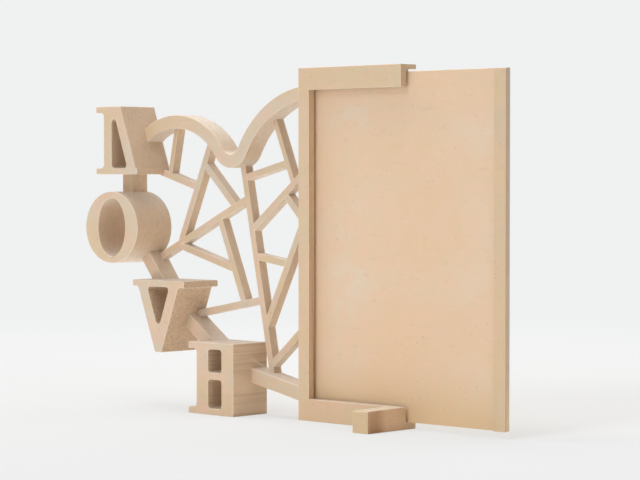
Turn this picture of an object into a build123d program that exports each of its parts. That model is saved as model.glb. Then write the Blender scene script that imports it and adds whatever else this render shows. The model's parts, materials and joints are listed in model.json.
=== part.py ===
from build123d import *
import math
import os

# Heart shaped photo frame, free standing. X runs to the right, Y to the back, Z up.
# Every piece of the heart is flat on its back, and all backs lie in one upright plane.
# The origin is on the table, under the middle of the whole frame. Sizes are in mm.

# Photo and the panel behind it
photo_height = 152.4
panel_over = 0.95
panel_width = 112.7
panel_thickness = 2.1
panel_clearance = 0.1
panel_headroom = 1.1
stop_width = 6.4
stop_thickness = 1.0
stop_drop = 0.2

# Bracket that holds the panel
bracket_reach = 62.0
bracket_depth = 10.4
stile_width = 6.5
top_rail_height = 10.05
bottom_rail_height = 10.0
lip_thickness = 3.8
photo_slot = 1.3
groove_floor = 3.1
groove_roof = 2.1
stile_groove = 2.0
back_lip_setback = 4.5

# Foot in front of the bottom rail
foot_width = 9.0
foot_reach = 21.4
foot_front_height = 9.6
foot_back_height = 10.0

# Heart rim: two lobe arcs on the circles below, and a cleft arc that touches both
rim_width = 6.3
right_lobe_radius = 50.55
right_lobe_behind_bracket = 7.9
right_lobe_drop = 61.7
left_lobe_radius = 37.45
left_lobe_from_bracket = 81.7
left_lobe_rise = 1.1
cleft_radius = 8.8
rim_start_angle = 142
link_width = 6.6

# Openwork blocks in the rim, each placed from the one above it
block_depth = 22.5
plate_thickness = 3.0
plate_overhang = 5.5
window_radius = 1.6
plate_fillet = 2.0

slope_left_of_lobe = 14.1
slope_above_lobe = 12.2
slope_height = 32.9
slope_base_width = 29.5
slope_cap_width = 17.5
slope_wall = 5.6

upper_link_length = 8.45
ring_left_of_lobe = 32.6
ring_width = 37.6
ring_height = 34.7
ring_side_wall = 9.0
ring_top_wall = 3.2

middle_link_drop = 7.5
wedge_right_of_ring = 33.1
wedge_height = 34.25
wedge_cap_width = 35.8
wedge_overhang = 3.9
wedge_tip_width = 4.4
wedge_wall = 5.8

ladder_right = 30.2
ladder_height = 33.7
ladder_width = 30.0
ladder_wall = 7.8
ladder_rung = 3.4
ladder_rung_height = 16.5

# Where the links leave the blocks, as shares of the blocks' own sizes
upper_link_share = 0.309
middle_link_ring_shares = (0.355, -0.44)
middle_link_wedge_shares = (-0.225, 0.191)
lower_link_wedge_share = 0.598
lower_link_ladder_shares = (0.275, 0.196)
tip_ladder_share = 0.576
tip_bracket_share = 0.072

# Bars inside the heart
bar_width = 3.3
thin_bar_width = 2.6
bar_depth = 5.0

# Where bars start on the circles of the rim, in degrees up from the right
cleft_bar_angle = 286.8
lobe_bar_angle = 57.0
slope_prop_angle = 96.8
right_lobe_bar_angle = 125.7

# Where bars leave the blocks and the stile, as shares of what carries them
slope_bar_share = 0.05
wedge_bar_share = 0.514
stile_bar_share = 0.25

# Where the other ends lie, as shares of the bar, link or tip that carries them, or of
# the bracket's height, first the start of each bar and then its end
cleft_end_share = 0.337
long_shares = (0.34, 0.175)
lobe_end_share = 0.272
slope_end_share = 0.483
slope_prop_end_share = 0.29
lobe_brace_shares = (0.269, 0.869)
stile_rise_shares = (0.318, 0.721)
right_lobe_end_share = 0.729
right_brace_shares = (0.081, 0.701)
lower_rise_shares = (0.76, 0.613)
stile_fall_shares = (0.575, 0.868)
lower_brace_shares = (0.44, 0.518)
foot_rise_shares = (0.936, 0.277)
wedge_end_share = 0.639
middle_drop_shares = (0.7, 0.749)
middle_brace_shares = (0.25, 0.6)

panel_height = photo_height + 2 * panel_over
bracket_height = groove_floor + panel_clearance + panel_height + panel_headroom + groove_roof
heart_reach = left_lobe_from_bracket + ring_left_of_lobe + ring_width / 2
panel_from_bracket = stile_width - stile_groove + panel_clearance
groove_width = photo_slot + panel_thickness + panel_clearance
back_wall = bracket_depth - lip_thickness - groove_width
overall_depth = bracket_depth + foot_reach

bracket_left = (heart_reach - panel_from_bracket - panel_width) / 2
bracket_right = bracket_left + bracket_reach
rail_left = bracket_left + stile_width
back_y = overall_depth / 2
bracket_front_y = back_y - bracket_depth
back_plane = Plane.XZ.offset(-back_y)

right_lobe = (bracket_left + right_lobe_behind_bracket, bracket_height - right_lobe_drop)
left_lobe = (bracket_left - left_lobe_from_bracket, right_lobe[1] + left_lobe_rise)

os.makedirs("parts", exist_ok=True)


def save(piece, label):
    piece.label = label
    export_step(piece, f"parts/{label}.step")


def save_flat(outline, depth, label):
    """Extrudes an outline forward from the common back plane and saves it."""
    with BuildPart() as piece:
        with BuildSketch(back_plane):
            add(outline.sketch_local)
        extrude(amount=depth)
    save(piece.part, label)


def between(start, end, share):
    """The point that lies a share of the way from start to end."""
    return tuple(a + (b - a) * share for a, b in zip(start, end))


def on_circle(centre, radius, angle):
    turn = math.radians(angle)
    return centre[0] + radius * math.cos(turn), centre[1] + radius * math.sin(turn)


def straight_band(start, end, width):
    """The corners of a straight band that runs from start to end."""
    run = width / 2 / math.dist(start, end)
    side_x = (start[1] - end[1]) * run
    side_z = (end[0] - start[0]) * run
    return [
        (start[0] + side_x, start[1] + side_z),
        (end[0] + side_x, end[1] + side_z),
        (end[0] - side_x, end[1] - side_z),
        (start[0] - side_x, start[1] - side_z),
    ]


def round_window(*points):
    """A window with rounded corners, to be cut from a block's outline."""
    with BuildSketch(mode=Mode.PRIVATE) as window:
        Polygon(*points, align=None)
        offset(amount=-window_radius, kind=Kind.INTERSECTION)
        offset(amount=window_radius)
    return window.sketch_local


# Slope block: a post and a leaning wall between a short cap and a longer base plate
slope_right_x = left_lobe[0] - slope_left_of_lobe
slope_bottom = left_lobe[1] + slope_above_lobe
slope_left_x = slope_right_x - slope_base_width
slope_post_x = slope_left_x + plate_overhang
slope_cap_right_x = slope_left_x + slope_cap_width
slope_top = slope_bottom + slope_height
slope_lean = (slope_right_x - slope_cap_right_x) / slope_height
slope_wall_run = slope_wall * math.hypot(1, slope_lean)


def slope_wall_x(height):
    """Outer face of the leaning wall at a height."""
    return slope_cap_right_x + (slope_top - height) * slope_lean


with BuildSketch() as slope_envelope:
    Polygon(
        (slope_post_x, slope_bottom),
        (slope_right_x, slope_bottom),
        (slope_cap_right_x, slope_top),
        (slope_post_x, slope_top),
        align=None,
    )
    with Locations((slope_left_x, slope_bottom)):
        Rectangle(slope_base_width, plate_thickness, align=(Align.MIN, Align.MIN))
    with Locations((slope_left_x, slope_top)):
        Rectangle(slope_cap_width, plate_thickness, align=(Align.MIN, Align.MAX))
    fillet(slope_envelope.vertices().group_by(Axis.X)[1], plate_fillet)

slope_window_bottom = slope_bottom + plate_thickness
slope_window_top = slope_top - plate_thickness

with BuildSketch() as slope_outline:
    add(slope_envelope.sketch_local)
    add(
        round_window(
            (slope_post_x + slope_wall, slope_window_bottom),
            (slope_wall_x(slope_window_bottom) - slope_wall_run, slope_window_bottom),
            (slope_wall_x(slope_window_top) - slope_wall_run, slope_window_top),
            (slope_post_x + slope_wall, slope_window_top),
        ),
        mode=Mode.SUBTRACT,
    )

save_flat(slope_outline, block_depth, "slope_block")

# Ring block: an oval ring, thicker at its sides
ring_centre = (
    left_lobe[0] - ring_left_of_lobe,
    slope_bottom - upper_link_length - ring_height / 2,
)

with BuildSketch() as ring_envelope:
    with Locations(ring_centre):
        Ellipse(ring_width / 2, ring_height / 2)

with BuildSketch() as ring_outline:
    add(ring_envelope.sketch_local)
    with Locations(ring_centre):
        Ellipse(
            ring_width / 2 - ring_side_wall,
            ring_height / 2 - ring_top_wall,
            mode=Mode.SUBTRACT,
        )

save_flat(ring_outline, block_depth, "ring_block")

# Wedge block: a cap plate on a hollow wedge that points down
wedge_x = ring_centre[0] + wedge_right_of_ring
wedge_top = ring_centre[1] - ring_height / 2 - middle_link_drop
wedge_bottom = wedge_top - wedge_height
wedge_cap_bottom = wedge_top - plate_thickness
wedge_body_width = wedge_cap_width - 2 * wedge_overhang
wedge_lean = (wedge_body_width - wedge_tip_width) / 2 / (wedge_height - plate_thickness)
wedge_window_half = wedge_body_width / 2 - wedge_wall * math.hypot(1, wedge_lean)


def wedge_wall_x(height):
    """Right outer face of the wedge at a height."""
    return wedge_x + wedge_tip_width / 2 + (height - wedge_bottom) * wedge_lean


with BuildSketch() as wedge_envelope:
    Polygon(
        (wedge_x - wedge_body_width / 2, wedge_cap_bottom),
        (wedge_x - wedge_tip_width / 2, wedge_bottom),
        (wedge_x + wedge_tip_width / 2, wedge_bottom),
        (wedge_x + wedge_body_width / 2, wedge_cap_bottom),
        align=None,
    )
    with Locations((wedge_x, wedge_top)):
        Rectangle(wedge_cap_width, plate_thickness, align=(Align.CENTER, Align.MAX))
    fillet(
        wedge_envelope.vertices().group_by(Axis.Y)[1].sort_by(Axis.X)[1:3],
        min(plate_fillet, wedge_overhang / 2),
    )

with BuildSketch() as wedge_outline:
    add(wedge_envelope.sketch_local)
    add(
        round_window(
            (wedge_x - wedge_window_half, wedge_cap_bottom),
            (wedge_x, wedge_cap_bottom - wedge_window_half / wedge_lean),
            (wedge_x + wedge_window_half, wedge_cap_bottom),
        ),
        mode=Mode.SUBTRACT,
    )

save_flat(wedge_outline, block_depth, "wedge_block")

# Ladder block: two windows between its plates, standing on the table
ladder_right_x = bracket_left - ladder_right
ladder_left_x = ladder_right_x - ladder_width
ladder_wall_x = ladder_left_x + plate_overhang
ladder_window_left = ladder_wall_x + ladder_wall
ladder_window_right = ladder_right_x - ladder_wall
ladder_windows = [
    (plate_thickness, ladder_rung_height),
    (ladder_rung_height + ladder_rung, ladder_height - plate_thickness),
]

with BuildSketch() as ladder_envelope:
    with Locations((ladder_wall_x, 0)):
        Rectangle(ladder_width - plate_overhang, ladder_height, align=(Align.MIN, Align.MIN))
    with Locations((ladder_left_x, 0)):
        Rectangle(ladder_width, plate_thickness, align=(Align.MIN, Align.MIN))
    with Locations((ladder_left_x, ladder_height)):
        Rectangle(ladder_width, plate_thickness, align=(Align.MIN, Align.MAX))
    fillet(ladder_envelope.vertices().group_by(Axis.X)[1], plate_fillet)

with BuildSketch() as ladder_outline:
    add(ladder_envelope.sketch_local)
    for bottom, top in ladder_windows:
        add(
            round_window(
                (ladder_window_left, bottom),
                (ladder_window_right, bottom),
                (ladder_window_right, top),
                (ladder_window_left, top),
            ),
            mode=Mode.SUBTRACT,
        )

save_flat(ladder_outline, block_depth, "ladder_block")

# Rim over both lobes, from the slope block to the bracket
def cleft_centre():
    """Centre of the circle above the lobes that touches both of them."""
    from_left = left_lobe_radius + cleft_radius
    from_right = right_lobe_radius + cleft_radius
    apart = math.dist(left_lobe, right_lobe)
    along = (from_left**2 - from_right**2 + apart**2) / (2 * apart)
    above = math.sqrt(from_left**2 - along**2)
    run_x = (right_lobe[0] - left_lobe[0]) / apart
    run_z = (right_lobe[1] - left_lobe[1]) / apart
    return (
        left_lobe[0] + run_x * along - run_z * above,
        left_lobe[1] + run_z * along + run_x * above,
    )


cleft = cleft_centre()
cleft_bottom = (cleft[0], cleft[1] - cleft_radius)
left_touch = between(left_lobe, cleft, left_lobe_radius / (left_lobe_radius + cleft_radius))
right_touch = between(right_lobe, cleft, right_lobe_radius / (right_lobe_radius + cleft_radius))
right_touch_angle = math.degrees(
    math.atan2(right_touch[1] - right_lobe[1], right_touch[0] - right_lobe[0])
)
rim_end_x = bracket_left + stile_width / 2
rim_end_angle = math.degrees(math.acos((rim_end_x - right_lobe[0]) / right_lobe_radius))

with BuildSketch() as stile_envelope:
    with Locations((bracket_left, 0)):
        Rectangle(stile_width, bracket_height, align=(Align.MIN, Align.MIN))

with BuildSketch() as rim_outline:
    with BuildLine():
        ThreePointArc(
            on_circle(left_lobe, left_lobe_radius, rim_start_angle),
            on_circle(left_lobe, left_lobe_radius, 90),
            left_touch,
        )
        ThreePointArc(left_touch, cleft_bottom, right_touch)
        ThreePointArc(
            right_touch,
            on_circle(right_lobe, right_lobe_radius, (rim_end_angle + right_touch_angle) / 2),
            on_circle(right_lobe, right_lobe_radius, rim_end_angle),
        )
    trace(line_width=rim_width)
    add(slope_envelope.sketch_local, mode=Mode.SUBTRACT)
    add(stile_envelope.sketch_local, mode=Mode.SUBTRACT)

save_flat(rim_outline, bracket_depth, "rim_top")


# Links of the rim between the blocks, and its tip at the bracket
def band_outline(start, end, width, neighbours):
    """A straight band, trimmed by the pieces that it ends on."""
    with BuildSketch() as outline:
        Polygon(*straight_band(start, end, width), align=None)
        for neighbour in neighbours:
            add(neighbour.sketch_local, mode=Mode.SUBTRACT)
    return outline


def ground_below(height):
    """All that lies below a level plate top."""
    with BuildSketch() as ground:
        with Locations((bracket_left, height)):
            Rectangle(2 * heart_reach, height, align=(Align.CENTER, Align.MAX))
    return ground


upper_link_x = slope_left_x + slope_base_width * upper_link_share
upper_link_line = ((upper_link_x, slope_bottom), (upper_link_x, ring_centre[1]))
middle_link_line = (
    (
        ring_centre[0] + ring_width / 2 * middle_link_ring_shares[0],
        ring_centre[1] + ring_height / 2 * middle_link_ring_shares[1],
    ),
    (
        wedge_x + wedge_cap_width * middle_link_wedge_shares[0],
        wedge_top - wedge_height * middle_link_wedge_shares[1],
    ),
)
lower_link_line = (
    (wedge_x, wedge_bottom + wedge_height * lower_link_wedge_share),
    (
        ladder_left_x + ladder_width * lower_link_ladder_shares[0],
        ladder_height - ladder_height * lower_link_ladder_shares[1],
    ),
)
tip_line = (
    (ladder_right_x - ladder_wall / 2, ladder_height * tip_ladder_share),
    (bracket_left + stile_width / 2, bracket_height * tip_bracket_share),
)

upper_link = band_outline(*upper_link_line, link_width, [ring_envelope])
middle_link = band_outline(
    *middle_link_line, link_width, [ring_envelope, ground_below(wedge_top)]
)
lower_link = band_outline(*lower_link_line, link_width, [wedge_envelope, ladder_envelope])
tip = band_outline(*tip_line, link_width, [ladder_envelope, stile_envelope])

save_flat(upper_link, bracket_depth, "rim_link_upper")
save_flat(middle_link, bracket_depth, "rim_link_middle")
save_flat(lower_link, bracket_depth, "rim_link_lower")
save_flat(tip, bracket_depth, "rim_tip")

# Bars inside the heart. Each ends on the middle line of what carries it, and is
# trimmed there, so that it butts against its neighbour's side.
bar_lines = {}
bar_outlines = {}


def lay_bar(name, start, end, neighbours, width=bar_width):
    bar_lines[name] = (start, end)
    bar_outlines[name] = band_outline(start, end, width, neighbours)
    save_flat(bar_outlines[name], bar_depth, f"lattice_bar_{name}")


def on_bar(name, share):
    return between(*bar_lines[name], share)


def on_stile(share):
    return bracket_left + stile_width * stile_bar_share, bracket_height * share


low_slope = slope_bottom + slope_height * slope_bar_share
mid_wedge = wedge_bottom + wedge_height * wedge_bar_share
in_slope_wall = (slope_wall_x(low_slope) - slope_wall / 2, low_slope)
in_wedge_wall = (wedge_wall_x(mid_wedge) - wedge_wall / 2, mid_wedge)

lay_bar("cleft", on_circle(cleft, cleft_radius, cleft_bar_angle),
        between(*tip_line, cleft_end_share), [rim_outline, tip])
cleft_bar = bar_outlines["cleft"]

lay_bar("long", between(*middle_link_line, long_shares[0]), on_bar("cleft", long_shares[1]),
        [middle_link, ring_envelope, cleft_bar])
long_bar = bar_outlines["long"]

lay_bar("lobe", on_circle(left_lobe, left_lobe_radius, lobe_bar_angle),
        on_bar("long", lobe_end_share), [rim_outline, long_bar])
lobe_bar = bar_outlines["lobe"]

lay_bar("slope", in_slope_wall, on_bar("lobe", slope_end_share), [slope_envelope, lobe_bar])
lay_bar("slope_prop", on_circle(left_lobe, left_lobe_radius, slope_prop_angle),
        on_bar("slope", slope_prop_end_share), [rim_outline, bar_outlines["slope"]],
        thin_bar_width)
lay_bar("lobe_brace", on_bar("lobe", lobe_brace_shares[0]), on_bar("long", lobe_brace_shares[1]),
        [lobe_bar, long_bar])

lay_bar("stile_rise", on_bar("cleft", stile_rise_shares[0]), on_stile(stile_rise_shares[1]),
        [cleft_bar, stile_envelope])
rise_bar = bar_outlines["stile_rise"]
lay_bar("right_lobe", on_circle(right_lobe, right_lobe_radius, right_lobe_bar_angle),
        on_bar("stile_rise", right_lobe_end_share), [rim_outline, rise_bar], thin_bar_width)
lay_bar("right_brace", on_bar("cleft", right_brace_shares[0]),
        on_bar("right_lobe", right_brace_shares[1]), [cleft_bar, bar_outlines["right_lobe"]])

lay_bar("lower_rise", on_bar("cleft", lower_rise_shares[0]), on_stile(lower_rise_shares[1]),
        [cleft_bar, stile_envelope])
lower_bar = bar_outlines["lower_rise"]
lay_bar("stile_fall", on_bar("stile_rise", stile_fall_shares[0]),
        on_bar("lower_rise", stile_fall_shares[1]), [rise_bar, lower_bar, stile_envelope])
lay_bar("lower_brace", on_bar("cleft", lower_brace_shares[0]),
        on_bar("lower_rise", lower_brace_shares[1]), [cleft_bar, lower_bar])
lay_bar("foot_rise", on_bar("cleft", foot_rise_shares[0]), on_stile(foot_rise_shares[1]),
        [cleft_bar, stile_envelope])

lay_bar("wedge", in_wedge_wall, on_bar("cleft", wedge_end_share),
        [wedge_envelope, lower_link, cleft_bar])
wedge_bar = bar_outlines["wedge"]
lay_bar("middle_drop", on_bar("long", middle_drop_shares[0]),
        on_bar("wedge", middle_drop_shares[1]), [long_bar, wedge_bar])
drop_bar = bar_outlines["middle_drop"]
lay_bar("middle_brace", on_bar("long", middle_brace_shares[0]),
        on_bar("middle_drop", middle_brace_shares[1]), [long_bar, drop_bar])

# Bracket: an upright stile and two rails with a channel for the panel and the photo
groove_y = back_y - back_wall

with BuildPart() as stile:
    with BuildSketch(back_plane):
        add(stile_envelope.sketch_local)
    extrude(amount=bracket_depth)
    with BuildSketch(Plane.YZ.offset(rail_left)):
        with Locations((groove_y, groove_floor)):
            Rectangle(
                groove_width,
                bracket_height - groove_floor - groove_roof,
                align=(Align.MAX, Align.MIN),
            )
    extrude(amount=-stile_groove, mode=Mode.SUBTRACT)

save(stile.part, "bracket_stile")

with BuildPart() as top_rail:
    with BuildSketch(Plane.YZ.offset(rail_left)):
        with Locations((back_y, bracket_height)):
            Rectangle(bracket_depth, top_rail_height, align=(Align.MAX, Align.MAX))
        with Locations((groove_y, bracket_height - groove_roof)):
            Rectangle(
                groove_width, top_rail_height, align=(Align.MAX, Align.MAX), mode=Mode.SUBTRACT
            )
    extrude(amount=bracket_right - rail_left)
    with BuildSketch(Plane.YZ.offset(bracket_right)):
        with Locations((back_y, bracket_height - groove_roof)):
            Rectangle(back_wall, top_rail_height, align=(Align.MAX, Align.MAX))
    extrude(amount=-back_lip_setback, mode=Mode.SUBTRACT)

save(top_rail.part, "bracket_top_rail")

with BuildPart() as bottom_rail:
    with BuildSketch(Plane.YZ.offset(rail_left)):
        with Locations((back_y, 0)):
            Rectangle(bracket_depth, bottom_rail_height, align=(Align.MAX, Align.MIN))
        with Locations((groove_y, groove_floor)):
            Rectangle(
                groove_width, bottom_rail_height, align=(Align.MAX, Align.MIN), mode=Mode.SUBTRACT
            )
    extrude(amount=bracket_right - rail_left)

save(bottom_rail.part, "bracket_bottom_rail")

# Foot: a block against the front of the bottom rail, flush with the rail's end, its top
# falling to the front
foot_front_y = bracket_front_y - foot_reach

with BuildPart() as foot:
    with BuildSketch(Plane.YZ.offset(bracket_right)):
        Polygon(
            (foot_front_y, 0),
            (bracket_front_y, 0),
            (bracket_front_y, foot_back_height),
            (foot_front_y, foot_front_height),
            align=None,
        )
    extrude(amount=-foot_width)

save(foot.part, "front_foot")

# Panel in the channel, and the strip on its right edge that stops the photo
panel_left_x = bracket_left + panel_from_bracket
panel_right_x = panel_left_x + panel_width
panel_bottom = groove_floor + panel_clearance
panel_back_y = groove_y - panel_clearance
panel_front_y = panel_back_y - panel_thickness

with BuildPart() as panel:
    with BuildSketch(Plane.XZ.offset(-panel_back_y)):
        with Locations((panel_left_x, panel_bottom)):
            Rectangle(panel_width, panel_height, align=(Align.MIN, Align.MIN))
    extrude(amount=panel_thickness)

save(panel.part, "back_panel")

with BuildPart() as stop:
    with BuildSketch(Plane.XZ.offset(-panel_front_y)):
        with Locations((panel_right_x, panel_bottom - stop_drop)):
            Rectangle(stop_width, panel_height, align=(Align.MAX, Align.MIN))
    extrude(amount=stop_thickness)

save(stop.part, "photo_stop")
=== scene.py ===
"""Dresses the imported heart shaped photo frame: softened edges, wood finishes, light and camera.

Every length is in metres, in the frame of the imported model: X to the right, Y to the back,
Z up, with the origin on the table under the middle of the whole object.
"""

import json
import logging
import math
from dataclasses import dataclass, field
from enum import Enum
from typing import Any, ClassVar, Iterable, Optional, Union

import bmesh
import bpy
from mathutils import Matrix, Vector
from mathutils.bvhtree import BVHTree

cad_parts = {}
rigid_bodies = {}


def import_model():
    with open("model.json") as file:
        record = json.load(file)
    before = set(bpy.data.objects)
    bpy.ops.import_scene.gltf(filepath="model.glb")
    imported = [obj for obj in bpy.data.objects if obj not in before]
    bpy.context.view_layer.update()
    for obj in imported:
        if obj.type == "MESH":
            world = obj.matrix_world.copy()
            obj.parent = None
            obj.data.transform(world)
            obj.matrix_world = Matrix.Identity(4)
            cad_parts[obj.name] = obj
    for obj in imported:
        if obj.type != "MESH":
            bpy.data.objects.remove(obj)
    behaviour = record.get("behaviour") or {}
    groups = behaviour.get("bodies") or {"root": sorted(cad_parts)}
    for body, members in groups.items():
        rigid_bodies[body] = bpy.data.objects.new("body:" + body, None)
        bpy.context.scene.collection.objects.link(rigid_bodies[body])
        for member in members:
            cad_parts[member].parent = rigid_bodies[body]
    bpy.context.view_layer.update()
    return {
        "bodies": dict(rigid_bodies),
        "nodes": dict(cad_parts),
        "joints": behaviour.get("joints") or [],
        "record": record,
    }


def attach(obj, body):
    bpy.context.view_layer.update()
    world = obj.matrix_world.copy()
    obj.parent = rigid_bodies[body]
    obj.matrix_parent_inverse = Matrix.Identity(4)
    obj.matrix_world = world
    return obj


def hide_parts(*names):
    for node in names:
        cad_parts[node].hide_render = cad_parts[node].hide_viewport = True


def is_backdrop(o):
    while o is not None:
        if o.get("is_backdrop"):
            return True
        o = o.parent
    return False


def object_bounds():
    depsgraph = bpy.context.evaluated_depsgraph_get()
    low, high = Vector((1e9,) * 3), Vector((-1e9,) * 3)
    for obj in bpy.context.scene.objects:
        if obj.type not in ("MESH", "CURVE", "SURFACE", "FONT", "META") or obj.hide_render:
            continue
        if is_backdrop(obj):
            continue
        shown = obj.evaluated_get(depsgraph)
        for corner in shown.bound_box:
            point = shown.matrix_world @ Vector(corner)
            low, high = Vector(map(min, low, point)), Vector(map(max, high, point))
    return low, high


log = logging.getLogger("photo_frame")

MM = 0.001

Colour = tuple[float, float, float, float]
Span = tuple[float, float]

SCREEN_FULL = 255.0
SCREEN_KNEE = 0.04045
SCREEN_SLOPE = 12.92
SCREEN_OFFSET = 0.055
SCREEN_POWER = 2.4

# The Mix node's sockets for colours go by number, because others have the same names.
MIX_SHARE = 0
MIX_FIRST = 6
MIX_SECOND = 7
MIX_RESULT = 2


def paint(red: float, green: float, blue: float) -> Colour:
    """Turns a colour as a screen shows it into the linear colour that a shader takes.

    Args:
        red: Red, from 0 to 255.
        green: Green, from 0 to 255.
        blue: Blue, from 0 to 255.

    Returns:
        The linear colour, opaque.
    """

    def linear(channel: float) -> float:
        """One channel, by the usual screen curve."""
        share = channel / SCREEN_FULL
        if share <= SCREEN_KNEE:
            return share / SCREEN_SLOPE
        return ((share + SCREEN_OFFSET) / (1 + SCREEN_OFFSET)) ** SCREEN_POWER

    return linear(red), linear(green), linear(blue), 1.0


class Shade:
    """One output socket, so that shader maths reads as a Python expression."""

    def __init__(self, bench: "Bench", socket: bpy.types.NodeSocket) -> None:
        """Keeps the socket and the bench that new nodes go to."""
        self.bench = bench
        self.socket = socket

    def _math(self, operation: str, *values: Union["Shade", float], clamp: bool = False) -> "Shade":
        """One Math node on the given values."""
        made = self.bench.node(
            "ShaderNodeMath",
            {"operation": operation, "use_clamp": clamp},
            dict(enumerate(values)),
        )
        return Shade(self.bench, made.outputs[0])

    def __add__(self, other: Union["Shade", float]) -> "Shade":
        """Sum."""
        return self._math("ADD", self, other)

    def __radd__(self, other: float) -> "Shade":
        """Sum with a number first."""
        return self._math("ADD", other, self)

    def __sub__(self, other: Union["Shade", float]) -> "Shade":
        """Difference."""
        return self._math("SUBTRACT", self, other)

    def __rsub__(self, other: float) -> "Shade":
        """Difference with a number first."""
        return self._math("SUBTRACT", other, self)

    def __mul__(self, other: Union["Shade", float]) -> "Shade":
        """Product."""
        return self._math("MULTIPLY", self, other)

    def __rmul__(self, other: float) -> "Shade":
        """Product with a number first."""
        return self._math("MULTIPLY", other, self)

    def __abs__(self) -> "Shade":
        """Size without sign."""
        return self._math("ABSOLUTE", self)

    def larger(self, other: Union["Shade", float]) -> "Shade":
        """The larger of the two values."""
        return self._math("MAXIMUM", self, other)

    def ramp(self, low: float, high: float, start: float = 0.0, end: float = 1.0) -> "Shade":
        """Goes smoothly from start to end as this value goes from low to high."""
        made = self.bench.node(
            "ShaderNodeMapRange",
            {"interpolation_type": "SMOOTHSTEP"},
            {"Value": self, "From Min": low, "From Max": high, "To Min": start, "To Max": end},
        )
        return Shade(self.bench, made.outputs["Result"])


class Bench:
    """Adds nodes to one material or world."""

    def __init__(self, tree: bpy.types.NodeTree) -> None:
        """Starts from an empty tree."""
        self.tree = tree
        tree.nodes.clear()

    def node(
        self,
        kind: str,
        settings: Optional[dict[str, Any]] = None,
        sockets: Optional[dict[Union[str, int], Any]] = None,
    ) -> bpy.types.Node:
        """Adds one node.

        Args:
            kind: The node's type.
            settings: Properties of the node, which are set first.
            sockets: Values or links of its input sockets, by name or by number.

        Returns:
            The new node.
        """
        made = self.tree.nodes.new(kind)
        for name, value in (settings or {}).items():
            setattr(made, name, value)
        for name, value in (sockets or {}).items():
            if isinstance(value, Shade):
                self.tree.links.new(value.socket, made.inputs[name])
            else:
                made.inputs[name].default_value = value
        return made

    def out(self, kind: str, output: Union[str, int] = 0, **parts: dict) -> Shade:
        """Adds a node and hands back one of its outputs."""
        return Shade(self, self.node(kind, **parts).outputs[output])

    def mix(self, share: Union[Shade, float], first: Any, second: Any) -> Shade:
        """Mixes two colours, the second by the given share."""
        return self.out(
            "ShaderNodeMix",
            MIX_RESULT,
            settings={"data_type": "RGBA", "clamp_factor": True},
            sockets={MIX_SHARE: share, MIX_FIRST: first, MIX_SECOND: second},
        )

    def stretch(self, place: Shade, scale: tuple[float, float, float]) -> Shade:
        """Scales a place along each axis, for patterns longer one way than another."""
        return self.out("ShaderNodeMapping", sockets={"Vector": place, "Scale": scale})

    def noise(self, place: Shade, per_metre: float, detail: float, rough: float = 0.5) -> Shade:
        """Cloudy noise about a half, with the given number of clouds in a metre."""
        return self.out(
            "ShaderNodeTexNoise",
            "Fac",
            sockets={"Vector": place, "Scale": per_metre, "Detail": detail, "Roughness": rough},
        )


class CutMarks(Enum):
    """How the marks run on the sides that the cutter left, as pattern scales per metre.

    ALONG follows the piece's outline, THROUGH runs through its depth, and ROUGH is even.
    """

    ALONG = (300.0, 1500.0, 300.0)
    THROUGH = (430.0, 14.0, 620.0)
    ROUGH = (1100.0, 600.0, 1500.0)


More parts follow.
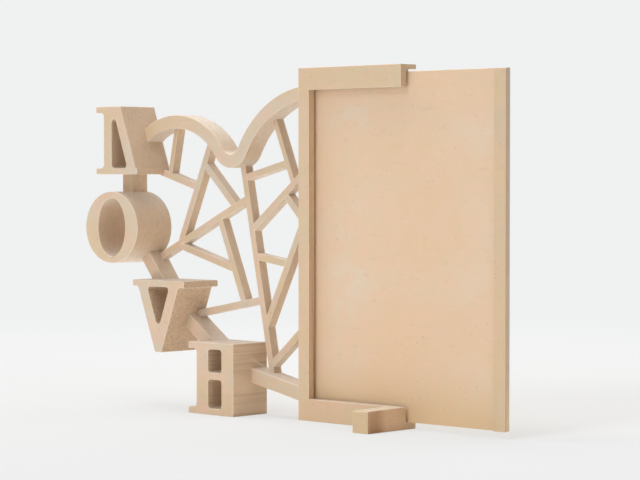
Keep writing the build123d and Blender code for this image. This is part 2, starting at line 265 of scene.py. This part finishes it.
@dataclass(frozen=True)
class Board:
    """Smooth matt board: tinted faces, darker end grain with cut marks, small specks, and a painted
    highlight along the softened edges.

    The faces look along Y, because every piece is cut from a board that lies in that plane.
    The grain runs level, so sides that look along X show end grain. Tops and undersides are
    painted paler and greyer: a painted reflection of the bright surroundings seen at a grazing
    angle.
    """

    name: str
    marks: CutMarks = CutMarks.ALONG
    warm: Colour = paint(217, 193, 160)
    cool: Colour = paint(213, 197, 177)
    pink: Colour = paint(223, 192, 170)
    smudge: Colour = paint(203, 180, 154)
    end: Colour = paint(212, 185, 157)
    # Painted reflection: the paler, greyer colour painted on tops and undersides for the grazing
    # sheen of the bright surroundings.
    level: Colour = paint(216, 200, 182)
    groove: Colour = paint(178, 147, 118)
    # Colour of the painted highlight on the softened edges, also used for the pale fibres on the
    # faces.
    pale_highlight_and_fibre: Colour = paint(250, 234, 210)
    speck: Colour = paint(150, 116, 88)
    fleck: Colour = paint(240, 223, 202)
    clouds: tuple[float, float, float] = (22.0, 22.0, 40.0)
    cloud_span: Span = (0.36, 0.64)
    blushes_per_metre: float = 105.0
    blush_span: Span = (0.42, 0.62)
    blush_share: float = 0.7
    smudges: tuple[float, float, float] = (170.0, 170.0, 380.0)
    smudge_span: Span = (0.58, 0.78)
    smudge_share: float = 0.4
    fibres_per_metre: float = 2300.0
    fibre_span: Span = (0.55, 0.8)
    face_fibre_share: float = 0.2
    cut_fibre_share: float = 0.3
    side_span: Span = (0.35, 0.8)
    # How far a cut side must face up or down to take the painted level sheen.
    painted_level_sheen_span: Span = (0.35, 0.95)
    hollow_span: Span = (0.42, 0.66)
    mark_detail: float = 3.0
    mark_roughness: float = 0.6
    mark_share: float = 0.3
    # How strongly the painted highlight pales the softened edges.
    edge_highlight_share: float = 0.9
    specks_per_metre: float = 400.0
    speck_radius_share: float = 0.12
    speck_core_share: float = 0.4
    speck_chance_span: Span = (0.3, 0.9)
    speck_share: float = 0.75
    fleck_shift: float = 3.7
    fibre_relief_share: float = 0.25
    relief_strength: float = 0.35
    relief_depth: float = 0.05 * MM
    roughness: float = 0.74
    smudge_roughness: float = 0.12
    cut_roughness: float = 0.1
    refraction: float = 1.45
    sheen: float = 0.3
    sheen_roughness: float = 0.4

    def build(self) -> bpy.types.Material:
        """Makes the material.

        Returns:
            The material, with all its patterns on Object coordinates.
        """
        material = bpy.data.materials.new(self.name)
        material.use_nodes = True
        bench = Bench(material.node_tree)
        place = bench.out("ShaderNodeTexCoord", "Object")
        normal = bench.node(
            "ShaderNodeSeparateXYZ",
            sockets={"Vector": bench.out("ShaderNodeTexCoord", "Normal")},
        )
        depth_ward = abs(Shade(bench, normal.outputs["Y"]))
        up_ward = abs(Shade(bench, normal.outputs["Z"]))
        side = depth_ward.ramp(*self.side_span, 1.0, 0.0)
        # Painted highlight: 1 half way round a softened front or back edge, 0 on the faces and on
        # the sides; the roundings are painted paler there.
        pale_highlight_and_fibre = 1.0 - abs(depth_ward * depth_ward * 2.0 - 1.0)
        fibres = bench.noise(place, self.fibres_per_metre, detail=2.0)
        smudges = bench.noise(bench.stretch(place, self.smudges), per_metre=1.0, detail=2.0)

        face = self._face(bench, place, fibres, smudges)
        spread = bench.stretch(place, self.marks.value)
        marks = bench.noise(
            spread, per_metre=1.0, detail=self.mark_detail, rough=self.mark_roughness
        )
        hollows = marks.ramp(*self.hollow_span)
        # Painted reflection: tops and undersides take the paler, greyer painted sheen colour
        # instead of the end grain.
        cut = bench.mix(up_ward.ramp(*self.painted_level_sheen_span), self.end, self.level)
        cut = bench.mix(hollows * self._marked(bench, place), cut, self.groove)
        cut = bench.mix(
            fibres.ramp(*self.fibre_span, 0.0, self.cut_fibre_share), cut, self.groove
        )
        colour = self._stained(bench, place, bench.mix(side, face, cut))
        # Painted highlight: the softened edges are painted paler.
        colour = bench.mix(pale_highlight_and_fibre * self.edge_highlight_share, colour, self.pale_highlight_and_fibre)
        colour = bench.mix(self._specks(bench, place, 0.0), colour, self.speck)
        colour = bench.mix(self._specks(bench, place, self.fleck_shift), colour, self.fleck)

        relief = fibres * self.fibre_relief_share + side * (1.0 - hollows)
        bump = bench.out(
            "ShaderNodeBump",
            sockets={
                "Strength": self.relief_strength,
                "Distance": self.relief_depth,
                "Height": relief,
            },
        )
        rough = smudges * self.smudge_roughness + side * self.cut_roughness
        rough = rough + (self.roughness - self.smudge_roughness / 2)
        surface = bench.out(
            "ShaderNodeBsdfPrincipled",
            sockets={
                "Base Color": colour,
                "Roughness": rough,
                "Normal": bump,
                "IOR": self.refraction,
                "Sheen Weight": self.sheen,
                "Sheen Roughness": self.sheen_roughness,
            },
        )
        bench.node("ShaderNodeOutputMaterial", sockets={"Surface": surface})
        return material

    def _cool_share(self, bench: Bench, place: Shade) -> Shade:
        """Where the face is paler and cooler: wide level clouds."""
        clouds = bench.noise(bench.stretch(place, self.clouds), per_metre=1.0, detail=2.0)
        return clouds.ramp(*self.cloud_span)

    def _face(self, bench: Bench, place: Shade, fibres: Shade, smudges: Shade) -> Shade:
        """Colour of the smooth faces.

        Args:
            bench: The tree that the nodes go to.
            place: Object coordinates.
            fibres: The finest noise.
            smudges: Noise drawn out along the grain.

        Returns:
            The colour, before the specks.
        """
        blushes = bench.noise(place, self.blushes_per_metre, detail=1.0)
        face = bench.mix(self._cool_share(bench, place), self.warm, self.cool)
        face = bench.mix(blushes.ramp(*self.blush_span, 0.0, self.blush_share), face, self.pink)
        face = bench.mix(
            smudges.ramp(*self.smudge_span, 0.0, self.smudge_share), face, self.smudge
        )
        return bench.mix(
            fibres.ramp(*self.fibre_span, 0.0, self.face_fibre_share), face, self.pale_highlight_and_fibre
        )

    def _marked(self, bench: Bench, place: Shade) -> Union[Shade, float]:
        """How clear the cut marks are, which is the same all over a plain board."""
        return self.mark_share

    def _stained(self, bench: Bench, place: Shade, colour: Shade) -> Shade:
        """The colour with the piece's own stains, of which plain boards have none."""
        return colour

    def _specks(self, bench: Bench, place: Shade, shift: float) -> Shade:
        """Sparse round specks.

        Args:
            bench: The tree that the nodes go to.
            place: Object coordinates.
            shift: Moves the pattern, so that two kinds of specks don't fall together.

        Returns:
            The share of the speck's colour, 0 between the specks.
        """
        moved = bench.out(
            "ShaderNodeMapping", sockets={"Vector": place, "Location": (shift, shift, shift)}
        )
        cells = bench.node(
            "ShaderNodeTexVoronoi",
            {"feature": "F1"},
            {"Vector": moved, "Scale": self.specks_per_metre},
        )
        near = Shade(bench, cells.outputs["Distance"])
        chance = bench.out(
            "ShaderNodeSeparateXYZ", "X", sockets={"Vector": Shade(bench, cells.outputs["Color"])}
        )
        core = self.speck_radius_share * self.speck_core_share
        spot = near.ramp(core, self.speck_radius_share, 1.0, 0.0)
        return spot * chance.ramp(*self.speck_chance_span, 0.0, self.speck_share)


@dataclass(frozen=True)
class PanelBoard(Board):
    """The panel's own finish: warmer, with two pale upright bands, and straw coloured below."""

    warm: Colour = paint(230, 199, 166)
    cool: Colour = paint(228, 207, 183)
    pink: Colour = paint(232, 200, 172)
    smudge: Colour = paint(216, 190, 163)
    end: Colour = paint(196, 176, 158)
    # Painted reflection on the panel's tops and undersides.
    level: Colour = paint(232, 213, 192)
    straw: Colour = paint(221, 192, 150)
    specks_per_metre: float = 330.0
    speck_radius_share: float = 0.1
    left_band: float = 34.0 * MM
    right_band: float = 112.0 * MM
    band_reach: float = 24.0 * MM
    left_share: float = 0.95
    right_share: float = 0.5
    band_cloud_share: float = 0.7
    cloud_share: float = 0.35
    straw_top: float = 34.0 * MM
    straw_share: float = 0.8

    def _cool_share(self, bench: Bench, place: Shade) -> Shade:
        """Wide level clouds, and a soft pale band near each upright edge."""
        across = bench.out("ShaderNodeSeparateXYZ", "X", sockets={"Vector": place})
        clouds = Board._cool_share(self, bench, place)
        left = abs(across - self.left_band).ramp(0.0, self.band_reach, self.left_share, 0.0)
        right = abs(across - self.right_band).ramp(0.0, self.band_reach, self.right_share, 0.0)
        banded = clouds * self.band_cloud_share + (1 - self.band_cloud_share)
        return banded * (left + right) + clouds * self.cloud_share

    def _stained(self, bench: Bench, place: Shade, colour: Shade) -> Shade:
        """Tints the lowest part straw, more and more towards the bottom edge."""
        height = bench.out("ShaderNodeSeparateXYZ", "Z", sockets={"Vector": place})
        share = height.ramp(0.0, self.straw_top, self.straw_share, 0.0)
        return bench.mix(share, colour, self.straw)


@dataclass(frozen=True)
class LadderBoard(Board):
    """The lowest block's own finish: level cut marks, clear near its top and faint below."""

    marks: CutMarks = CutMarks.THROUGH
    mark_share: float = 0.7
    low_mark_share: float = 0.3
    marks_from: float = 19.0 * MM
    marks_to: float = 27.0 * MM

    def _marked(self, bench: Bench, place: Shade) -> Shade:
        """Goes from the faint marks to the clear ones with the height."""
        height = bench.out("ShaderNodeSeparateXYZ", "Z", sockets={"Vector": place})
        return height.ramp(self.marks_from, self.marks_to, self.low_mark_share, self.mark_share)


@dataclass(frozen=True)
class FootBoard(Board):
    """The foot's own finish: straw coloured, with a brown stain on its right side."""

    marks: CutMarks = CutMarks.ROUGH
    warm: Colour = paint(214, 190, 150)
    cool: Colour = paint(210, 190, 151)
    pink: Colour = paint(217, 189, 155)
    end: Colour = paint(206, 174, 141)
    # Painted reflection on the foot's top and underside.
    level: Colour = paint(219, 205, 181)
    stain: Colour = paint(158, 118, 82)
    # Painted highlight on the foot's softened edges.
    edge_highlight_share: float = 0.7
    stained_side: float = 69.7 * MM
    stain_reach: float = 0.3 * MM
    stain_depth: float = -11.3 * MM
    stain_from: float = 2.0 * MM
    stain_to: float = 9.5 * MM
    stain_share: float = 0.9
    stain_noise_per_metre: float = 380.0
    stain_fade_height: float = 8.0 * MM
    stain_top_share: float = 0.7

    def _stained(self, bench: Bench, place: Shade, colour: Shade) -> Shade:
        """Adds a soft upright stain to the right side, a little behind its front edge."""
        parts = bench.node("ShaderNodeSeparateXYZ", sockets={"Vector": place})
        across, depth, height = (Shade(bench, parts.outputs[name]) for name in "XYZ")
        waver = bench.noise(place, self.stain_noise_per_metre, detail=3.0) * self.stain_from
        apart = abs(depth - self.stain_depth) + waver
        share = apart.ramp(self.stain_from, self.stain_to, self.stain_share, 0.0)
        share = share * across.ramp(self.stained_side - self.stain_reach, self.stained_side)
        share = share * height.ramp(0.0, self.stain_fade_height, 1.0, self.stain_top_share)
        return bench.mix(share, colour, self.stain)


@dataclass(frozen=True)
class BracketBoard(Board):
    """The bracket's finish: a little warmer than the heart, with browner cut sides."""

    warm: Colour = paint(218, 191, 157)
    cool: Colour = paint(215, 195, 163)
    pink: Colour = paint(223, 191, 165)
    end: Colour = paint(206, 176, 142)
    mark_share: float = 0.25
    # Painted highlight on the bracket's softened edges.
    edge_highlight_share: float = 0.75


@dataclass(frozen=True)
class BottomRailBoard(BracketBoard):
    """The bottom rail's finish: as the bracket's, with hardly any painted highlight on its edges.
    """

    edge_highlight_share: float = 0.3


@dataclass(frozen=True)
class StripBoard(Board):
    """The strip's finish: a little more straw coloured than the wood round it."""

    warm: Colour = paint(218, 192, 155)
    cool: Colour = paint(213, 191, 161)
    pink: Colour = paint(221, 190, 161)
    end: Colour = paint(199, 170, 140)


@dataclass
class WoodenPieces:
    """Pieces of one kind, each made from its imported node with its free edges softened."""

    finish: Board
    nodes: tuple[str, ...] = ()
    body: str = "frame"
    slot: str = "pale_wood"
    edge_radius: float = 0.27 * MM
    edge_steps: int = 3
    edge_profile: float = 0.5
    merge_reach: float = 0.002 * MM
    joint_reach: float = 0.15 * MM
    least_edge: float = 0.6 * MM
    corner_reach: float = 0.3 * MM
    flat_angle: float = math.radians(0.4)
    sharp_angle: float = math.radians(38)
    smooth_angle: float = math.radians(40)
    flat_weight: int = 100
    pieces: list[bpy.types.Object] = field(default_factory=list)

    trees: ClassVar[dict[str, BVHTree]] = {}
    corners: ClassVar[dict[str, list[Vector]]] = {}

    @classmethod
    def survey(cls, frame: dict[str, Any]) -> None:
        """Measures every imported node, so that a piece can tell where its neighbours touch it.
        """
        for name, node in frame["nodes"].items():
            points = [vertex.co.copy() for vertex in node.data.vertices]
            faces = [tuple(face.vertices) for face in node.data.polygons]
            cls.trees[name] = BVHTree.FromPolygons(points, faces)
            cls.corners[name] = points

    def build(self, frame: dict[str, Any]) -> None:
        """Makes, dresses and places every piece of the group.
        """
        material = self.finish.build()
        for name in self.nodes:
            piece = self._copy_of(frame["nodes"][name], f"{name}_piece")
            self._merge(piece)
            self._split_at_joints(piece, name)
            self._round_free_edges(piece, name)
            self._smooth(piece)
            piece.data.materials.clear()
            piece.data.materials.append(material)
            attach(piece, self.body)
            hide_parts(name)
            self.pieces.append(piece)
            log.info("%s: %d faces", piece.name, len(piece.data.polygons))

    def _copy_of(self, node: bpy.types.Object, name: str) -> bpy.types.Object:
        """A new object at the origin with its own copy of the node's mesh."""
        piece = bpy.data.objects.new(name, node.data.copy())
        piece.data.name = name
        bpy.context.scene.collection.objects.link(piece)
        return piece

    def _merge(self, piece: bpy.types.Object) -> None:
        """Joins the loose triangles, and joins the flat ones into whole faces."""
        choose(piece)
        bpy.ops.object.mode_set(mode="EDIT")
        bpy.ops.mesh.select_mode(type="VERT")
        bpy.ops.mesh.select_all(action="SELECT")
        bpy.ops.mesh.remove_doubles(threshold=self.merge_reach)
        bpy.ops.mesh.dissolve_limited(angle_limit=self.flat_angle)
        bpy.ops.object.mode_set(mode="OBJECT")

    def _neighbours(self, name: str) -> list[str]:
        """The other nodes, which may touch this one."""
        return [other for other in self.trees if other != name]

    def _split_at_joints(self, piece: bpy.types.Object, name: str) -> None:
        """Gives each long edge a vertex where a neighbour's corner touches it."""
        touching = [
            corner
            for other in self._neighbours(name)
            for corner in self.corners[other]
            if self.trees[name].find_nearest(corner, self.joint_reach)[0] is not None
        ]
        shape = bmesh.new()
        shape.from_mesh(piece.data)
        for corner in touching:
            for edge in list(shape.edges):
                self._split_edge(edge, corner)
        shape.to_mesh(piece.data)
        shape.free()

    def _split_edge(self, edge: bmesh.types.BMEdge, corner: Vector) -> None:
        """Splits the edge at a corner that lies on it, away from its ends."""
        start, end = (vertex.co for vertex in edge.verts)
        run = end - start
        if run.length < self.least_edge:
            return
        share = (corner - start).dot(run) / run.length_squared
        beside = (start + run * share - corner).length
        room = self.corner_reach / run.length
        if beside < self.joint_reach and room < share < 1 - room:
            bmesh.utils.edge_split(edge, edge.verts[0], share)

    def _is_covered(self, place: Vector, name: str) -> bool:
        """Says whether a neighbour touches the piece at a place."""
        return any(
            self.trees[other].find_nearest(place, self.joint_reach)[0] is not None
            for other in self._neighbours(name)
        )

    def _round_free_edges(self, piece: bpy.types.Object, name: str) -> None:
        """Rounds the outer edges that no neighbour touches."""
        shape = bmesh.new()
        shape.from_mesh(piece.data)
        shape.normal_update()
        free = [
            edge.index
            for edge in shape.edges
            if edge.is_manifold
            and edge.is_convex
            and edge.calc_face_angle() > self.sharp_angle
            and not self._is_covered((edge.verts[0].co + edge.verts[1].co) / 2, name)
        ]
        shape.free()
        choose(piece)
        bpy.ops.object.mode_set(mode="EDIT")
        bpy.ops.mesh.select_mode(type="EDGE")
        bpy.ops.mesh.select_all(action="DESELECT")
        bpy.ops.object.mode_set(mode="OBJECT")
        for index in free:
            piece.data.edges[index].select = True
        bpy.ops.object.mode_set(mode="EDIT")
        bpy.ops.mesh.bevel(
            offset_type="OFFSET",
            offset=self.edge_radius,
            segments=self.edge_steps,
            profile=self.edge_profile,
            affect="EDGES",
            clamp_overlap=False,
        )
        bpy.ops.object.mode_set(mode="OBJECT")

    def _smooth(self, piece: bpy.types.Object) -> None:
        """Shades the roundings smoothly while the flat faces stay flat."""
        choose(piece)
        bpy.ops.object.shade_smooth_by_angle(angle=self.smooth_angle)
        modifier = piece.modifiers.new("flat_faces", "WEIGHTED_NORMAL")
        modifier.keep_sharp = True
        modifier.weight = self.flat_weight
        bpy.ops.object.modifier_apply(modifier=modifier.name)


def choose(piece: bpy.types.Object) -> None:
    """Selects one object alone and makes it active."""
    bpy.ops.object.select_all(action="DESELECT")
    piece.select_set(True)
    bpy.context.view_layer.objects.active = piece


@dataclass
class OpenworkBlocks(WoodenPieces):
    """The deep blocks in the rim that have round or straight windows."""

    nodes: tuple[str, ...] = ("slope_block", "ring_block")


@dataclass
class WedgeBlock(WoodenPieces):
    """The hollow wedge, whose leaning sides are rougher."""

    nodes: tuple[str, ...] = ("wedge_block",)


@dataclass
class LadderBlock(WoodenPieces):
    """The lowest block, with level cut marks through its depth."""

    nodes: tuple[str, ...] = ("ladder_block",)


@dataclass
class HeartRim(WoodenPieces):
    """The rim over both lobes, the links between the blocks and the tip."""

    nodes: tuple[str, ...] = (
        "rim_top",
        "rim_link_upper",
        "rim_link_middle",
        "rim_link_lower",
        "rim_tip",
    )


@dataclass
class Bracket(WoodenPieces):
    """The stile and the top rail, which hold the panel upright."""

    nodes: tuple[str, ...] = ("bracket_stile", "bracket_top_rail")


@dataclass
class BottomRail(WoodenPieces):
    """The lower arm of the bracket, in which the panel stands."""

    nodes: tuple[str, ...] = ("bracket_bottom_rail",)


@dataclass
class Foot(WoodenPieces):
    """The block in front of the bottom rail, flush with the rail's end."""

    nodes: tuple[str, ...] = ("front_foot",)


@dataclass
class Lattice(WoodenPieces):
    """All the thin bars inside the heart."""

    edge_radius: float = 0.22 * MM


@dataclass
class SlidingPanel(WoodenPieces):
    """The panel behind the photo, which slides out to the right with its strip."""

    nodes: tuple[str, ...] = ("back_panel",)
    body: str = "panel"
    slot: str = "panel_board"
    edge_radius: float = 0.15 * MM


@dataclass
class PhotoStop(SlidingPanel):
    """The strip on the panel's right edge, which stops the photo."""

    nodes: tuple[str, ...] = ("photo_stop",)
    slot: str = "pale_wood"


@dataclass(frozen=True)
class Lamp:
    """A square soft lamp that looks at the middle of the object.

    Its azimuth is in degrees, 0 in front of the object and 90 to its right. Its height is in
    degrees above the horizon, its size and distance in metres and its power in watts.
    """

    name: str
    azimuth: float
    height: float
    size: float
    power: float
    distance: float = 2.4

    def build(self, middle: Vector) -> None:
        """Adds the lamp.

        Args:
            middle: The object's middle.
        """
        turn, rise = math.radians(self.azimuth), math.radians(self.height)
        away = Vector(
            (
                math.sin(turn) * math.cos(rise),
                -math.cos(turn) * math.cos(rise),
                math.sin(rise),
            )
        )
        data = bpy.data.lights.new(self.name, "AREA")
        data.shape = "SQUARE"
        data.size = self.size
        data.energy = self.power
        lamp = bpy.data.objects.new(self.name, data)
        lamp.visible_camera = False
        lamp.location = middle + away * self.distance
        lamp.rotation_mode = "QUATERNION"
        lamp.rotation_quaternion = (-away).to_track_quat("-Z", "Y")
        bpy.context.scene.collection.objects.link(lamp)


@dataclass
class Studio:
    """Pale floor and background, soft light from all round, and the camera.

    The camera sees an even floor and background. The object is lit by another floor, which is
    brighter close to it and duller far away, and by a weak sky.
    """

    background: Colour = paint(240, 241, 241)
    sky: Colour = paint(255, 255, 255)
    sky_strength: float = 0.2
    floor_half: float = 6.0
    floor_near: Colour = paint(254, 253, 250)
    floor_far: Colour = paint(226, 226, 224)
    floor_light_span: Span = (0.06, 0.5)
    floor_seen: Colour = paint(233, 233, 232)
    floor_glow_span: Span = (0.25, 0.8)
    floor_glow_share: float = 0.55
    floor_grain_per_metre: float = 900.0
    floor_grain_strength: float = 0.1
    floor_grain_depth: float = 0.05 * MM
    floor_roughness: float = 1.0
    lamps: tuple[Lamp, ...] = (
        Lamp("key_lamp", azimuth=0.0, height=36.0, size=0.6, power=6.15, distance=2.0),
        Lamp("front_lamp", azimuth=0.0, height=6.0, size=1.2, power=6.9),
        Lamp("right_lamp", azimuth=85.0, height=12.0, size=1.2, power=7.4),
        Lamp("top_front_lamp", azimuth=0.0, height=65.0, size=1.5, power=6.5),
        Lamp("top_lamp", azimuth=0.0, height=88.0, size=2.0, power=13.0),
        Lamp("left_lamp", azimuth=-90.0, height=60.0, size=1.5, power=40.5),
        Lamp("back_lamp", azimuth=180.0, height=50.0, size=1.5, power=18.5),
    )
    camera_place: Vector = field(default_factory=lambda: Vector((0.731255, -0.74921, 0.11282)))
    camera_azimuth: float = 43.24
    camera_drop: float = 1.669
    camera_lens: float = 128.9
    camera_sensor: float = 36.0
    camera_nearest: float = 0.01
    camera_farthest: float = 100.0

    def build(self) -> None:
        """Makes the whole studio."""
        self._sky()
        self._floor()
        low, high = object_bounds()
        for lamp in self.lamps:
            lamp.build((low + high) / 2)
        self._camera()

    def _seen_rays(self, bench: Bench) -> Shade:
        """1 for rays that show the background itself or its reflection, and 0 for light."""
        path = bench.node("ShaderNodeLightPath")
        seen = Shade(bench, path.outputs["Is Camera Ray"])
        for name in ("Is Glossy Ray", "Is Transmission Ray"):
            seen = seen.larger(Shade(bench, path.outputs[name]))
        return seen

    def _sky(self) -> None:
        """World that shows the pale background and lights the object from all round."""
        world = bpy.data.worlds.new("studio")
        bpy.context.scene.world = world
        world.use_nodes = True
        bench = Bench(world.node_tree)
        seen = self._seen_rays(bench)
        light = bench.node(
            "ShaderNodeBackground", sockets={"Color": self.sky, "Strength": self.sky_strength}
        )
        backdrop = bench.node(
            "ShaderNodeBackground", sockets={"Color": self.background, "Strength": 1.0}
        )
        self._show_instead(bench, seen, light, backdrop, "ShaderNodeOutputWorld")

    def _show_instead(
        self,
        bench: Bench,
        share: Shade,
        first: bpy.types.Node,
        second: bpy.types.Node,
        output: str,
    ) -> None:
        """Mixes two shaders by a share and joins them to the output.

        Args:
            bench: The tree that the nodes go to.
            share: 0 for the first shader alone, 1 for the second.
            first: The first shader.
            second: The second shader.
            output: The type of the output node.
        """
        mixed = bench.node(
            "ShaderNodeMixShader",
            sockets={
                0: share,
                1: Shade(bench, first.outputs[0]),
                2: Shade(bench, second.outputs[0]),
            },
        )
        bench.node(output, sockets={"Surface": Shade(bench, mixed.outputs[0])})

    def _floor(self) -> None:
        """Wide pale floor that keeps the shadows near the object and fades into the background."""
        bpy.ops.object.select_all(action="DESELECT")
        bpy.ops.mesh.primitive_plane_add(size=2 * self.floor_half, location=(0, 0, 0))
        floor = bpy.context.object
        floor.name = "studio_floor"
        material = bpy.data.materials.new("studio_floor")
        material.use_nodes = True
        bench = Bench(material.node_tree)
        place = bench.out("ShaderNodeTexCoord", "Object")
        away = bench.out(
            "ShaderNodeVectorMath", "Value", settings={"operation": "LENGTH"}, sockets={0: place}
        )
        grain = bench.noise(place, self.floor_grain_per_metre, detail=2.0)
        camera_ray = bench.out("ShaderNodeLightPath", "Is Camera Ray")
        bounce = bench.mix(away.ramp(*self.floor_light_span), self.floor_near, self.floor_far)
        shown = bench.mix(camera_ray, bounce, self.floor_seen)
        bump = bench.out(
            "ShaderNodeBump",
            sockets={
                "Strength": self.floor_grain_strength,
                "Distance": self.floor_grain_depth,
                "Height": grain,
            },
        )
        matt = bench.node(
            "ShaderNodeBsdfDiffuse",
            sockets={"Color": shown, "Roughness": self.floor_roughness, "Normal": bump},
        )
        glow = bench.node("ShaderNodeEmission", sockets={"Color": self.background})
        fade = away.ramp(*self.floor_glow_span, self.floor_glow_share, 1.0) * camera_ray
        self._show_instead(bench, fade, matt, glow, "ShaderNodeOutputMaterial")
        floor.data.materials.append(material)
        floor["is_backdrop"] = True

    def _camera(self) -> None:
        """Sets the camera at the photograph's place and angle."""
        data = bpy.data.cameras.new("photo_camera")
        data.lens = self.camera_lens
        data.sensor_width = self.camera_sensor
        data.clip_start = self.camera_nearest
        data.clip_end = self.camera_farthest
        camera = bpy.data.objects.new("photo_camera", data)
        camera.location = self.camera_place
        camera.rotation_euler = (
            math.radians(90 - self.camera_drop),
            0,
            math.radians(self.camera_azimuth),
        )
        bpy.context.scene.collection.objects.link(camera)
        bpy.context.scene.camera = camera
        bpy.context.scene.view_settings.view_transform = "Standard"


def bar_names(frame: dict[str, Any]) -> tuple[str, ...]:
    """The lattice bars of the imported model, in order."""
    return tuple(sorted(name for name in frame["nodes"] if name.startswith("lattice_bar_")))


def sub_assemblies(frame: dict[str, Any]) -> Iterable[WoodenPieces]:
    """The object's groups of pieces, each with its finish."""
    return (
        OpenworkBlocks(Board("pale_wood_blocks", mark_share=0.24)),
        WedgeBlock(Board("pale_wood_wedge", marks=CutMarks.ROUGH, mark_share=0.6)),
        LadderBlock(LadderBoard("pale_wood_ladder")),
        HeartRim(Board("pale_wood_rim")),
        Lattice(Board("pale_wood_bars"), nodes=bar_names(frame)),
        Bracket(BracketBoard("pale_wood_bracket")),
        BottomRail(BottomRailBoard("pale_wood_bottom_rail")),
        Foot(FootBoard("pale_wood_foot")),
        SlidingPanel(PanelBoard("panel_board")),
        PhotoStop(StripBoard("pale_wood_strip")),
    )


def main() -> None:
    """Loads the frame and builds the studio and every sub-assembly round it."""
    logging.basicConfig(level=logging.INFO, format="%(name)s: %(message)s")
    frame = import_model()
    bpy.ops.object.select_all(action="DESELECT")
    Studio().build()
    WoodenPieces.survey(frame)
    for group in sub_assemblies(frame):
        group.build(frame)


if __name__ == "__main__":
    main()
